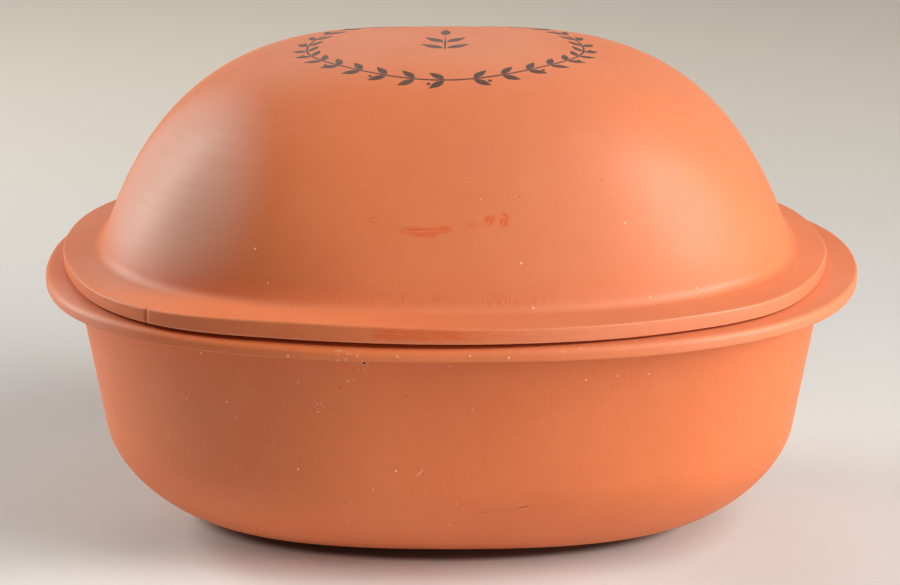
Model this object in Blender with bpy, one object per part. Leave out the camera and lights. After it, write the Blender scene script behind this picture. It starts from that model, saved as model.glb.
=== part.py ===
"""An oval baker of unglazed clay: a deep flanged dish, and the domed lid that rests on its flange.

Metres, +Z up. The origin is the middle of the dish's foot, on the surface that it stands on, the
long axis lies along X, and the front faces -Y. Every level of both pieces is a rounded oval, so
each piece is one section, drawn from its middle outward, and carried round the oval ring by ring.
"""

import math

import bmesh
import bpy

# The rounded ovals: 2 would be an ellipse, and a higher power has fuller corners.
PLAN_POWER = 2.4
DOME_TOP_PLAN_POWER = 3.5

# Dish
DISH_LENGTH = 0.360
DISH_WIDTH = 0.248
DISH_HEIGHT = 0.1249
DISH_WALL = 0.0075
WALL_DRAFT = 0.165
HEEL_REACH = 0.059
HEEL_RISE = 0.0511
HEEL_POWER = 1.75
DISH_FLANGE_REACH = 0.0141
DISH_FLANGE_THICKNESS = 0.0060
DISH_FLANGE_FILLET = 0.003
FLANGE_EDGE_ROUND = 0.0018
FLANGE_SLOPE_WIDTH = 0.0170
FLANGE_SLOPE_DROP = 0.0011
MOUTH_ROUND = 0.0022

# Lid
DISH_SHOWING_AT_END = 0.0108
DISH_SHOWING_AT_SIDE = 0.0014
LID_EDGE_THICKNESS = 0.0061
LID_FLANGE_WIDTH = 0.0155
LID_EDGE_OFF_CENTRE = 0.0018
DOME_HEIGHT = 0.0917
DOME_BELLY_DEPTH = 0.136
DOME_POWER = 2.99
DOME_FOOT_FILLET = 0.0065
LID_WALL = 0.0075
LIP_DEPTH = 0.0065
LIP_THICKNESS = 0.0062
LIP_ROUND = 0.0015

# Clearances: the lid lies on the dish's flange, pushed along until its lip nearly touches the mouth.
SEAT_GAP = 0.0003
LIP_PLAY = 0.0022
LIP_SIDE_GAP = 0.0005

# How finely the round stretches are divided.
RING_POINTS = 72
HEEL_STEPS = 7
FILLET_STEPS = 3
EDGE_STEPS = 2
DOME_STEPS = 11
DOME_INSIDE_STEPS = 9

CLAY_COLOUR = (0.680, 0.185, 0.070, 1.0)
CLAY_ROUGHNESS = 0.62


def remove_old_objects():
    """Start from an empty scene."""
    for old in list(bpy.data.objects):
        bpy.data.objects.remove(old, do_unlink=True)


def clay_material(name):
    """Fired red earthenware with no glaze."""
    material = bpy.data.materials.new(name)
    material.use_nodes = True
    shader = material.node_tree.nodes["Principled BSDF"]
    shader.inputs["Base Color"].default_value = CLAY_COLOUR
    shader.inputs["Roughness"].default_value = CLAY_ROUGHNESS
    shader.inputs["Metallic"].default_value = 0.0
    material.diffuse_color = CLAY_COLOUR
    return material


def on_quarter(power, angle):
    """The point at an angle, in degrees, on the quarter curve x**power + y**power = 1."""
    across = max(math.cos(math.radians(angle)), 0.0)
    up = max(math.sin(math.radians(angle)), 0.0)
    scale = (across**power + up**power) ** (-1.0 / power)
    return across * scale, up * scale


def arc(centre, radius, start, end, steps):
    """Section points on an arc, from one angle to the other, in degrees."""
    points = []
    for step in range(steps + 1):
        angle = math.radians(start + (end - start) * step / steps)
        points.append((centre[0] + radius * math.cos(angle), centre[1] + radius * math.sin(angle)))
    return points


def ring_of(half_length, half_width, height, power, centre_x):
    """One level of a piece: points evenly round an oval, counter-clockwise seen from above."""
    points = []
    for index in range(RING_POINTS):
        turn = math.tau * index / RING_POINTS
        across = math.cos(turn)
        along = math.sin(turn)
        scale = (abs(across) ** power + abs(along) ** power) ** (-1.0 / power)
        points.append((centre_x + half_length * across * scale, half_width * along * scale, height))
    return points


def close_with_face(mesh, ring, facing_up):
    """A flat face over a ring."""
    mesh.faces.new(ring if facing_up else list(reversed(ring)))


def close_at_point(mesh, ring, point, facing_up):
    """Triangles from a ring to the one point in its middle."""
    tip = mesh.verts.new(point)
    for index, corner in enumerate(ring):
        following = ring[(index + 1) % RING_POINTS]
        mesh.faces.new((corner, following, tip) if facing_up else (following, corner, tip))


def bands_between(mesh, rings):
    """Faces from each ring to the next. The clay lies on the left of the section's way out."""
    made = [[mesh.verts.new(point) for point in ring] for ring in rings]
    for lower, upper in zip(made, made[1:]):
        for index in range(RING_POINTS):
            following = (index + 1) % RING_POINTS
            mesh.faces.new((lower[index], lower[following], upper[following], upper[index]))
    return made[0], made[-1]


def finish_piece(name, mesh):
    """Turn the faces into a named, smoothly shaded object with its own clay."""
    data = bpy.data.meshes.new(name)
    mesh.to_mesh(data)
    mesh.free()
    data.shade_smooth()
    data.set_sharp_from_angle(angle=math.radians(50))
    data.materials.append(clay_material(name + "_clay"))
    piece = bpy.data.objects.new(name, data)
    bpy.context.collection.objects.link(piece)
    return piece


# The dish's section. A point is (half-length of its ring, height).
DISH_HALF_LENGTH = DISH_LENGTH / 2
DISH_SIDE_SHORTFALL = (DISH_LENGTH - DISH_WIDTH) / 2
FLANGE_EDGE_TOP = DISH_HEIGHT - FLANGE_SLOPE_DROP
FLANGE_UNDERSIDE = FLANGE_EDGE_TOP - DISH_FLANGE_THICKNESS


def wall_outside(height):
    """Half-length of the drafted wall's outer face at a height."""
    return DISH_HALF_LENGTH - DISH_FLANGE_REACH - WALL_DRAFT * (FLANGE_UNDERSIDE - height)


def wall_inside(height):
    """Half-length of the wall's inner face at a height."""
    return wall_outside(height) - DISH_WALL * math.hypot(1.0, WALL_DRAFT)


def heel(inset):
    """The curve from the foot up into the wall, or the same curve a wall's thickness inside it."""
    points = []
    for step in range(HEEL_STEPS + 1):
        out, down = on_quarter(HEEL_POWER, 90.0 * (1.0 - step / HEEL_STEPS))
        height = HEEL_RISE * (1.0 - down)
        half_length = wall_outside(height) - HEEL_REACH * (1.0 - out)
        rise = out ** (HEEL_POWER - 1.0)
        run = HEEL_REACH * down ** (HEEL_POWER - 1.0) / HEEL_RISE + WALL_DRAFT * rise
        slope = math.hypot(run, rise)
        points.append((half_length - inset * rise / slope, height + inset * run / slope))
    return points


MOUTH_TOP = DISH_HEIGHT - MOUTH_ROUND
MOUTH_HALF_LENGTH = wall_inside(MOUTH_TOP)


def dish_section():
    """Up the outside from the foot, over the flange and down the inside to the floor."""
    edge_x = DISH_HALF_LENGTH - FLANGE_EDGE_ROUND
    fillet_z = FLANGE_UNDERSIDE - DISH_FLANGE_FILLET
    fillet_x = wall_outside(fillet_z) + DISH_FLANGE_FILLET
    points = heel(0.0)
    points += arc((fillet_x, fillet_z), DISH_FLANGE_FILLET, 180.0, 90.0, FILLET_STEPS)
    points += arc((edge_x, FLANGE_UNDERSIDE + FLANGE_EDGE_ROUND), FLANGE_EDGE_ROUND, -90.0, 0.0, EDGE_STEPS)
    points += arc((edge_x, FLANGE_EDGE_TOP - FLANGE_EDGE_ROUND), FLANGE_EDGE_ROUND, 0.0, 90.0, EDGE_STEPS)
    points.append((DISH_HALF_LENGTH - FLANGE_SLOPE_WIDTH, DISH_HEIGHT))
    points += arc((MOUTH_HALF_LENGTH + MOUTH_ROUND, MOUTH_TOP), MOUTH_ROUND, 90.0, 180.0, EDGE_STEPS)
    points += reversed(heel(DISH_WALL))
    return points


def make_dish():
    """The deep oval dish that holds the food."""
    mesh = bmesh.new()
    rings = []
    for half_length, height in dish_section():
        half_width = half_length - DISH_SIDE_SHORTFALL
        rings.append(ring_of(half_length, half_width, height, PLAN_POWER, 0.0))
    foot, floor = bands_between(mesh, rings)
    close_with_face(mesh, foot, facing_up=False)
    close_with_face(mesh, floor, facing_up=True)
    return finish_piece("base_dish", mesh)


# The lid's section follows the dish's mouth and flange.
LID_HALF_LENGTH = DISH_HALF_LENGTH - DISH_SHOWING_AT_END
LID_HALF_WIDTH = DISH_WIDTH / 2 - DISH_SHOWING_AT_SIDE
LID_UNDERSIDE = DISH_HEIGHT + SEAT_GAP
LID_FLANGE_TOP = LID_UNDERSIDE + LID_EDGE_THICKNESS
LIP_HALF_LENGTH = MOUTH_HALF_LENGTH - LIP_PLAY
LID_SHIFT = -(LIP_PLAY - LIP_SIDE_GAP)
LID_EDGE_CENTRE = LID_SHIFT - LID_EDGE_OFF_CENTRE


def dome_scale(height, wall):
    """How wide the dome is at a height over the flange, as a share of its width at the belly."""
    share = (DOME_BELLY_DEPTH + height) / (DOME_BELLY_DEPTH + DOME_HEIGHT - wall)
    return (1.0 - share**DOME_POWER) ** (1.0 / DOME_POWER)


DOME_HALF_LENGTH = (LID_HALF_LENGTH - LID_FLANGE_WIDTH) / dome_scale(0.0, 0.0)
DOME_HALF_WIDTH = (LID_HALF_WIDTH - LID_FLANGE_WIDTH) / dome_scale(0.0, 0.0)


def dome_level(height, wall):
    """Half-length and half-width of the dome's outer face, or of the face a wall's thickness inside."""
    scale = dome_scale(height, wall)
    return (DOME_HALF_LENGTH - wall) * scale, (DOME_HALF_WIDTH - wall) * scale


def dome_rings(start_height, wall, steps):
    """The dome's rings from a height over the flange up to just short of its top."""
    reach = DOME_BELLY_DEPTH + DOME_HEIGHT - wall
    first_angle = math.degrees(
        math.atan2((DOME_BELLY_DEPTH + start_height) / reach, dome_scale(start_height, wall))
    )
    rings = []
    for step in range(steps):
        out, up = on_quarter(DOME_POWER, first_angle + (90.0 - first_angle) * step / steps)
        half_length = (DOME_HALF_LENGTH - wall) * out
        half_width = (DOME_HALF_WIDTH - wall) * out
        rise = reach * up - DOME_BELLY_DEPTH
        power = PLAN_POWER + (DOME_TOP_PLAN_POWER - PLAN_POWER) * max(rise, 0.0) / DOME_HEIGHT
        rings.append(ring_of(half_length, half_width, LID_FLANGE_TOP + rise, power, LID_SHIFT))
    return rings


def lip_rings():
    """From the inside of the lip, under it and up its outside to the lid's underside."""
    bottom = LID_UNDERSIDE - LIP_DEPTH
    outer = (LIP_HALF_LENGTH - LIP_ROUND, bottom + LIP_ROUND)
    inner = (LIP_HALF_LENGTH - LIP_THICKNESS + LIP_ROUND, bottom + LIP_ROUND)
    points = arc(inner, LIP_ROUND, 180.0, 270.0, EDGE_STEPS)
    points += arc(outer, LIP_ROUND, -90.0, 0.0, EDGE_STEPS)
    points.append((LIP_HALF_LENGTH, LID_UNDERSIDE))
    rings = []
    for half_length, height in points:
        half_width = half_length - DISH_SIDE_SHORTFALL
        rings.append(ring_of(half_length, half_width, height, PLAN_POWER, LID_SHIFT))
    return rings


def lid_edge_rings():
    """Round the lid's flange, from its underside to its top. Its edge was trimmed a little off centre."""
    low = (-FLANGE_EDGE_ROUND, LID_UNDERSIDE + FLANGE_EDGE_ROUND)
    high = (-FLANGE_EDGE_ROUND, LID_FLANGE_TOP - FLANGE_EDGE_ROUND)
    points = arc(low, FLANGE_EDGE_ROUND, -90.0, 0.0, EDGE_STEPS)
    points += arc(high, FLANGE_EDGE_ROUND, 0.0, 90.0, EDGE_STEPS)
    rings = []
    for outward, height in points:
        half_length = LID_HALF_LENGTH + outward
        half_width = LID_HALF_WIDTH + outward
        rings.append(ring_of(half_length, half_width, height, PLAN_POWER, LID_EDGE_CENTRE))
    return rings


def foot_fillet_rings():
    """The hollow curve from the flange's top into the dome, tangent to both."""
    end_length, end_width = dome_level(DOME_FOOT_FILLET, 0.0)
    corner_length, corner_width = dome_level(0.0, 0.0)
    rings = []
    for step in range(FILLET_STEPS):
        share = step / FILLET_STEPS
        first = (1.0 - share) ** 2
        middle = 2.0 * share * (1.0 - share)
        last = share**2
        half_length = (first + middle) * corner_length + first * DOME_FOOT_FILLET + last * end_length
        half_width = (first + middle) * corner_width + first * DOME_FOOT_FILLET + last * end_width
        height = LID_FLANGE_TOP + last * DOME_FOOT_FILLET
        rings.append(ring_of(half_length, half_width, height, PLAN_POWER, LID_SHIFT))
    return rings


def make_lid():
    """The domed lid, with the lip that keeps it in the dish's mouth."""
    mesh = bmesh.new()
    inside = list(reversed(dome_rings(-LID_EDGE_THICKNESS, LID_WALL, DOME_INSIDE_STEPS)))
    outside = dome_rings(DOME_FOOT_FILLET, 0.0, DOME_STEPS)
    rings = inside + lip_rings() + lid_edge_rings() + foot_fillet_rings() + outside
    ceiling, crown = bands_between(mesh, rings)
    top = LID_FLANGE_TOP + DOME_HEIGHT
    close_at_point(mesh, ceiling, (LID_SHIFT, 0.0, top - LID_WALL), facing_up=False)
    close_at_point(mesh, crown, (LID_SHIFT, 0.0, top), facing_up=True)
    return finish_piece("domed_lid", mesh)


def main():
    """Build the baker with its lid on."""
    remove_old_objects()
    make_dish()
    make_lid()


main()
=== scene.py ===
# %% [markdown]
# # An oval clay baker, from frame to finish
#
# The real object is a deep oval dish of unglazed red clay and the domed lid that rests on its
# flange. It is pressed in a mould, trimmed and sponged by hand, and fired once. This lesson builds
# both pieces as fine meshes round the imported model, gives them a fired-clay finish made of nodes,
# and lights them as a photographer lights a pot: one strong soft lamp and several weak ones.

import math

import bpy
import numpy as np
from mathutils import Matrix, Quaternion, Vector


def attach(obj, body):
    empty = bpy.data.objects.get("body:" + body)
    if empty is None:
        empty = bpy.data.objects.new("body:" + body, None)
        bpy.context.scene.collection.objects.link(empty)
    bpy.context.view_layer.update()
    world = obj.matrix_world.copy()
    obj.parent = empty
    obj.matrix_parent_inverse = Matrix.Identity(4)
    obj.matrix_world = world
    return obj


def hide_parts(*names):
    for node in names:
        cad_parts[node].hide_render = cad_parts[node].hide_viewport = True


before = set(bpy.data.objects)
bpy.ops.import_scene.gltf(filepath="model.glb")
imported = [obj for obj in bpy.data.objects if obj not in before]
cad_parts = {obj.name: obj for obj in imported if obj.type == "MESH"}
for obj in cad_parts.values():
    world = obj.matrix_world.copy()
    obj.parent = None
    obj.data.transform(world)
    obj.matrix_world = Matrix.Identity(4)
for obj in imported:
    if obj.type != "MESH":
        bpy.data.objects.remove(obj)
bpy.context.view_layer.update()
MM = 0.001


def add(name, data):
    """A new object in the scene."""
    made = bpy.data.objects.new(name, data)
    bpy.context.scene.collection.objects.link(made)
    return made


# %% [markdown]
# ## The camera
#
# The camera comes first, because a few marks on the clay are placed by where the photograph shows
# them. A long lens looks down at the baker from 1.4 m away. The two small angles, a turn round the
# baker and a lean of the camera, are what a hand-placed tripod always has.

# %% Camera
PICTURE_WIDTH = 900
PICTURE_HEIGHT = 585
VIEW_ELEVATION = math.radians(18.5)
VIEW_AZIMUTH = math.radians(0.62)
CAMERA_LEAN = math.radians(0.13)
VIEW_DISTANCE = 1.4
AIM = Vector((0.0001, 0.0, 0.1071))
LENS_MM = 124.8

back = Vector((
    math.sin(VIEW_AZIMUTH) * math.cos(VIEW_ELEVATION),
    -math.cos(VIEW_AZIMUTH) * math.cos(VIEW_ELEVATION),
    math.sin(VIEW_ELEVATION),
))
camera = add("photograph_camera", bpy.data.cameras.new("photograph_camera"))
camera.data.lens = LENS_MM
camera.rotation_mode = "QUATERNION"
camera.location = AIM + back * VIEW_DISTANCE
FOCAL_PIXELS = LENS_MM / camera.data.sensor_width * PICTURE_WIDTH
camera.rotation_quaternion = (-back).to_track_quat("-Z", "Y") @ Quaternion((0.0, 0.0, 1.0), -CAMERA_LEAN)
bpy.context.scene.camera = camera
print("camera at", [round(value, 3) for value in camera.location])
print("focal length in pixels", round(FOCAL_PIXELS))

# %% [markdown]
# ## Rounded ovals
#
# Seen from above, both pieces are rounded ovals with fuller corners than an ellipse. The curve
# |x/a|^n + |y/b|^n = 1 with n a little over 2 is exactly such an oval, so one function makes every
# level of the baker. The points go round by direction, which spaces them evenly on the curve, and
# a few more stand close together where the lid's edge has a small nick.

# %% The oval of every level
EVEN_TURNS = 352
NICK_TURN = math.radians(227.1)
NICK_HALF_TURN = math.radians(0.28)

even = np.arange(EVEN_TURNS) * math.tau / EVEN_TURNS
close = NICK_TURN + NICK_HALF_TURN * np.array([-2.0, -1.0, -0.5, 0.0, 0.5, 1.0, 2.0])
TURNS = np.sort(np.concatenate([even, close]))
PLAN_POWER = 2.4


def oval(half_length, half_width, height, power=PLAN_POWER, centre_x=0.0):
    """One level: a ring of points, counter-clockwise seen from above."""
    across = np.cos(TURNS)
    along = np.sin(TURNS)
    scale = (np.abs(across) ** power + np.abs(along) ** power) ** (-1.0 / power)
    heights = np.broadcast_to(height, TURNS.shape)
    return np.column_stack((centre_x + half_length * across * scale, half_width * along * scale, heights))


def swell(centre, half_turn):
    """A smooth hump round the oval, in degrees: 1 at its centre, and 0 from half_turn away."""
    away = (np.degrees(TURNS) - centre + 180.0) % 360.0 - 180.0
    return np.cos(np.clip(away / half_turn, -1.0, 1.0) * math.pi / 2) ** 2


def humps(rows):
    """The sum of several humps, each a centre, a half turn and a distance in millimetres."""
    return sum(distance * MM * swell(centre, half_turn) for centre, half_turn, distance in rows)


def arc(centre, radius, start, end, steps):
    """Section points (half-length, height) on an arc, from one angle to the other, in degrees."""
    angles = np.radians(np.linspace(start, end, steps + 1))
    return [(centre[0] + radius * math.cos(a), centre[1] + radius * math.sin(a)) for a in angles]


def quarter(power, share):
    """The point at a share of the way up the quarter curve x**power + y**power = 1."""
    across = max(math.cos(share * math.pi / 2), 0.0)
    up = max(math.sin(share * math.pi / 2), 0.0)
    scale = (across**power + up**power) ** (-1.0 / power)
    return across * scale, up * scale


print("points in each ring", len(TURNS))

# %% [markdown]
# ## The dish's section
#
# A section is the line a potter's template would cut: up the outside from the foot, over the
# flange, and down the inside to the floor. The main sizes are the solid's own, with finer steps,
# and the flange gets the uneven rim of the real one. The sponge made its upper corner soft and left
# it crisp at the right end only, the rim wanders off the oval by a millimetre, and the flange sags a
# little left of the front, so the gap under the lid is widest there. A section is therefore a list
# of points that may differ from one direction to the next, and the oval takes them as they are. A
# hump is a direction and a width in degrees, and a distance in millimetres.

# %% Dish sizes and section
DISH_HALF_LENGTH = 180.0 * MM
DISH_SIDE_SHORTFALL = 56.0 * MM
DISH_HEIGHT = 124.9 * MM
WALL = 7.5 * MM
WALL_DRAFT = 0.165
HEEL_REACH = 59.0 * MM
HEEL_RISE = 51.1 * MM
HEEL_POWER = 1.75
HEEL_STEPS = 26
WALL_STEPS = 22
INSIDE_STEPS = 16
FLANGE_REACH = 14.1 * MM
FLANGE_THICKNESS = 6.0 * MM
FLANGE_FILLET = 2.4 * MM
SOFT_CORNER = 2.6 * MM
CRISP_CORNER = 1.1 * MM
LOWER_CORNER = 1.1 * MM
FLANGE_SLOPE_WIDTH = 17.0 * MM
FLANGE_SLOPE_DROP = 1.1 * MM
MOUTH_ROUND = 2.2 * MM
FLANGE_SAG = 1.0 * MM
SAG_TURN = 258.0
SAG_HALF_TURN = 42.0
CRISP_HALF_TURN = 48.0
RIM_HUMPS = ((357.0, 20.0, 0.9), (28.0, 26.0, -1.0), (197.0, 20.0, -0.9))
FLANGE_EDGE_TOP = DISH_HEIGHT - FLANGE_SLOPE_DROP
FLANGE_UNDERSIDE = FLANGE_EDGE_TOP - FLANGE_THICKNESS


def wall_outside(height):
    """Half-length of the wall's leaning outer face at a height."""
    return DISH_HALF_LENGTH - FLANGE_REACH - WALL_DRAFT * (FLANGE_UNDERSIDE - height)


def heel(inset):
    """The curve from the foot up into the wall, or the same curve a wall's thickness inside."""
    points = []
    for share in np.linspace(1.0, 0.0, HEEL_STEPS + 1):
        out, down = quarter(HEEL_POWER, share)
        height = HEEL_RISE * (1.0 - down)
        half_length = wall_outside(height) - HEEL_REACH * (1.0 - out)
        rise = out ** (HEEL_POWER - 1.0)
        run = HEEL_REACH * down ** (HEEL_POWER - 1.0) / HEEL_RISE + WALL_DRAFT * rise
        slope = math.hypot(run, rise)
        points.append((half_length - inset * rise / slope, height + inset * run / slope))
    return points


def flange_edge(upper_corner):
    """The rim of the flange from its lower corner to its upper one."""
    low = (DISH_HALF_LENGTH - LOWER_CORNER, FLANGE_UNDERSIDE + LOWER_CORNER)
    high = (DISH_HALF_LENGTH - upper_corner, FLANGE_EDGE_TOP - upper_corner)
    return arc(low, LOWER_CORNER, -90.0, 0.0, 5) + arc(high, upper_corner, 0.0, 90.0, 7)


def straight(start, end, steps):
    """Section points between two points, without the two."""
    return [
        (start[0] + (end[0] - start[0]) * step / steps, start[1] + (end[1] - start[1]) * step / steps)
        for step in range(1, steps)
    ]


MOUTH_TOP = DISH_HEIGHT - MOUTH_ROUND
MOUTH_HALF_LENGTH = wall_outside(MOUTH_TOP) - WALL * math.hypot(1.0, WALL_DRAFT)

fillet_z = FLANGE_UNDERSIDE - FLANGE_FILLET
fillet_x = wall_outside(fillet_z) + FLANGE_FILLET
outside = heel(0.0)
under_flange = arc((fillet_x, fillet_z), FLANGE_FILLET, 180.0, 90.0, 6)
softness = 1.0 - swell(0.0, CRISP_HALF_TURN)
sag = FLANGE_SAG * swell(SAG_TURN, SAG_HALF_TURN)
wander = humps(RIM_HUMPS)
rim = []
for soft, crisp in zip(flange_edge(SOFT_CORNER), flange_edge(CRISP_CORNER)):
    out, height = (soft[axis] * softness + crisp[axis] * (1.0 - softness) for axis in (0, 1))
    rim.append((out + wander, height - sag * (height - FLANGE_UNDERSIDE) / FLANGE_THICKNESS))
crest = (DISH_HALF_LENGTH - FLANGE_SLOPE_WIDTH, DISH_HEIGHT)
mouth = arc((MOUTH_HALF_LENGTH + MOUTH_ROUND, MOUTH_TOP), MOUTH_ROUND, 90.0, 180.0, 5)
inside = heel(WALL)[::-1]

dish_section = (
    outside
    + straight(outside[-1], under_flange[0], WALL_STEPS)
    + under_flange
    + straight(under_flange[-1], rim[0], 4)
    + rim
    + straight(rim[-1], crest, 6)
    + [crest]
    + mouth
    + straight(mouth[-1], inside[0], INSIDE_STEPS)
    + inside
)
dish_rings = [oval(x, x - DISH_SIDE_SHORTFALL, z) for x, z in dish_section]
print("dish section points", len(dish_section))

# %% [markdown]
# ## Made by hand
#
# No pressed and sponged pot is a perfect oval. A smooth random field, the sum of a few long sine
# waves that cross in space, moves every point by a few tenths of a millimetre. Inside and outside
# move together, so the wall keeps its thickness, and lid and dish share the field, so they still
# fit. The highlights then run a little unevenly, which is what makes clay look like clay.

# %% Hand-made waves
WAVE_COUNT = 9
WAVE_SPREAD = (0.7, 1.5)
BODY_SEEDS = (11, 12, 13)
UPRIGHT_SHARE = 0.6
FREE_FROM = 20.0 * MM
BODY_WAVE_LENGTH = 0.115
BODY_WAVE = 0.16 * MM


def soft_waves(points, length, height, seed):
    """A smooth field of values, one for each point."""
    draw = np.random.default_rng(seed)
    field = np.zeros(len(points))
    for _ in range(WAVE_COUNT):
        direction = draw.normal(size=3)
        direction *= math.tau / (np.linalg.norm(direction) * length * draw.uniform(*WAVE_SPREAD))
        field += np.sin(points @ direction + draw.uniform(0.0, math.tau))
    return field * height / math.sqrt(WAVE_COUNT)


def hand_made(points):
    """Move points sideways and up or down by the shared waves. The foot stays flat on its surface."""
    free = np.clip(points[:, 2] / FREE_FROM, 0.0, 1.0)
    moves = [soft_waves(points, BODY_WAVE_LENGTH, BODY_WAVE, seed) for seed in BODY_SEEDS]
    return points + np.column_stack((moves[0], moves[1], moves[2] * UPRIGHT_SHARE * free))


# %% [markdown]
# ## From rings to a mesh
#
# Neighbouring rings are joined by quads, and the first and last ring are closed by ever smaller
# rings and one middle point. NumPy makes the whole list of faces at once. A value can be kept for
# each ring too, so that the finish can find a place on the section, such as the edge of a flange.

# %% Loft a piece
CAP_SHARES = (0.8, 0.6, 0.4, 0.22, 0.08)


def cap_rings(ring):
    """Rings that shrink towards the middle of a ring."""
    middle = ring.mean(axis=0)
    return [middle + (ring - middle) * share for share in CAP_SHARES]


def loft(name, rings):
    """A closed piece from its first ring, which closes at its middle, to its last."""
    count = len(TURNS)
    points = np.concatenate(rings)
    first = points[:count].mean(axis=0)
    last = points[-count:].mean(axis=0)
    points = hand_made(np.vstack((points, first, last)))
    index = np.arange(len(rings) * count).reshape(len(rings), count)
    following = np.roll(index, -1, axis=1)
    quads = np.stack((index[:-1], following[:-1], following[1:], index[1:]), axis=-1).reshape(-1, 4)
    tips = len(points) - 2
    start = [(following[0, i], index[0, i], tips) for i in range(count)]
    end = [(index[-1, i], following[-1, i], tips + 1) for i in range(count)]
    data = bpy.data.meshes.new(name)
    data.from_pydata(points.tolist(), [], quads.tolist() + start + end)
    data.shade_smooth()
    return add(name, data)


def keep_values(piece, attribute, values):
    """Keep one value for each point of a piece."""
    kept = piece.data.attributes.new(attribute, "FLOAT", "POINT")
    kept.data.foreach_set("value", np.ascontiguousarray(values, dtype=np.float32))


def mark_rings(piece, attribute, values):
    """Keep one value for each ring, and that of the nearest ring for the two middle points."""
    spread = np.repeat(values, len(TURNS))
    keep_values(piece, attribute, np.concatenate((spread, spread[:1], spread[-1:])))


foot_cap = cap_rings(dish_rings[0])[::-1]
floor_cap = cap_rings(dish_rings[-1])
dish = loft("dish_clay", foot_cap + dish_rings + floor_cap)
print(dish.name, len(dish.data.vertices), "points")

# %% [markdown]
# ## The domed lid
#
# The lid's section starts under the crown, runs down the inside to the lip that keeps the lid in
# the dish's mouth, out along the underside, round the trimmed edge, and over the dome. The dome
# itself is a quarter of a rounded curve whose middle lies below the flange, which gives the steep
# flanks and the broad shoulder. Towards the top its plan grows squarer, as a mould's does.

# %% Lid sizes and section
LID_HALF_LENGTH = 169.2 * MM
LID_HALF_WIDTH = 122.6 * MM
LID_SHIFT = -1.7 * MM
LID_EDGE_CENTRE = -3.5 * MM
LID_FLANGE_WIDTH = 15.5 * MM
EDGE_THICKNESS = 6.1 * MM
EDGE_LOW_CORNER = 0.7 * MM
EDGE_HIGH_CORNER = 0.9 * MM
DOME_HEIGHT = 91.7 * MM
DOME_FOOT_HALF_LENGTH = LID_HALF_LENGTH - LID_FLANGE_WIDTH
DOME_FOOT_HALF_WIDTH = LID_HALF_WIDTH - LID_FLANGE_WIDTH
DOME_BELLY_DEPTH = 136.0 * MM
DOME_POWER = 2.99
DOME_TOP_PLAN_POWER = 3.5
DOME_FILLET = 4.0 * MM
FOOT_RISE = 3.0 * MM
FLANGE_LIFTS = ((250.0, 36.0, 1.4), (290.0, 70.0, 0.5))
DOME_STEPS = 78
CEILING_STEPS = 34
LIP_DEPTH = 6.5 * MM
LIP_THICKNESS = 6.2 * MM
LIP_ROUND = 1.5 * MM
LIP_PLAY = 2.2 * MM
SEAT_GAP = 0.3 * MM
EDGE_BOTTOM = DISH_HEIGHT + SEAT_GAP
FLANGE_TOP = EDGE_BOTTOM + EDGE_THICKNESS


def dome_share(height, wall=0.0):
    """How wide the dome is at a height over the flange, as a share of its width at the belly."""
    level = (DOME_BELLY_DEPTH + height) / (DOME_BELLY_DEPTH + DOME_HEIGHT - wall)
    return (1.0 - level**DOME_POWER) ** (1.0 / DOME_POWER)


def dome_plan_power(height):
    """How square the dome's plan is at a height over the flange."""
    return PLAN_POWER + (DOME_TOP_PLAN_POWER - PLAN_POWER) * max(height, 0.0) / DOME_HEIGHT


DOME_HALF_LENGTH = DOME_FOOT_HALF_LENGTH / dome_share(0.0)
DOME_HALF_WIDTH = DOME_FOOT_HALF_WIDTH / dome_share(0.0)
FLANGE_LIFT = humps(FLANGE_LIFTS)


def dome_rings(start_height, wall, steps):
    """The dome's rings from a height over the flange up to just short of its top."""
    reach = DOME_BELLY_DEPTH + DOME_HEIGHT - wall
    level = (DOME_BELLY_DEPTH + start_height) / reach
    first = math.atan2(level, dome_share(start_height, wall)) / (math.pi / 2)
    rings = []
    for share in np.linspace(first, 1.0, steps, endpoint=False):
        out, up = quarter(DOME_POWER, share)
        rise = reach * up - DOME_BELLY_DEPTH
        size = ((DOME_HALF_LENGTH - wall) * out, (DOME_HALF_WIDTH - wall) * out)
        rings.append(oval(*size, FLANGE_TOP + rise, dome_plan_power(rise), LID_SHIFT))
    return rings


def on_dome(height):
    """The ring where the dome is at a height over the flange."""
    size = (DOME_HALF_LENGTH * dome_share(height), DOME_HALF_WIDTH * dome_share(height))
    return oval(*size, FLANGE_TOP + height, dome_plan_power(height), LID_SHIFT)


def fillet_rings(steps, rim):
    """The hollow curve from the sloping flange into the dome, tangent to both."""
    corner = on_dome(FOOT_RISE)
    end = on_dome(FOOT_RISE + DOME_FILLET)
    start = corner + (rim - corner) * DOME_FILLET / LID_FLANGE_WIDTH
    shares = np.linspace(0.0, 1.0, steps, endpoint=False)
    return [(1 - t) ** 2 * start + 2 * t * (1 - t) * corner + t**2 * end for t in shares]


def between(first, last, steps):
    """Rings between two rings, without the two."""
    return [first + (last - first) * step / steps for step in range(1, steps)]


lip_half_length = MOUTH_HALF_LENGTH - LIP_PLAY
lip_low = EDGE_BOTTOM - LIP_DEPTH + LIP_ROUND
lip = arc((lip_half_length - LIP_THICKNESS + LIP_ROUND, lip_low), LIP_ROUND, 180.0, 270.0, 4)
lip += arc((lip_half_length - LIP_ROUND, lip_low), LIP_ROUND, -90.0, 0.0, 4)
lip += [(lip_half_length, EDGE_BOTTOM)]
lip_rings = [oval(x, x - DISH_SIDE_SHORTFALL, z, centre_x=LID_SHIFT) for x, z in lip]

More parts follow.
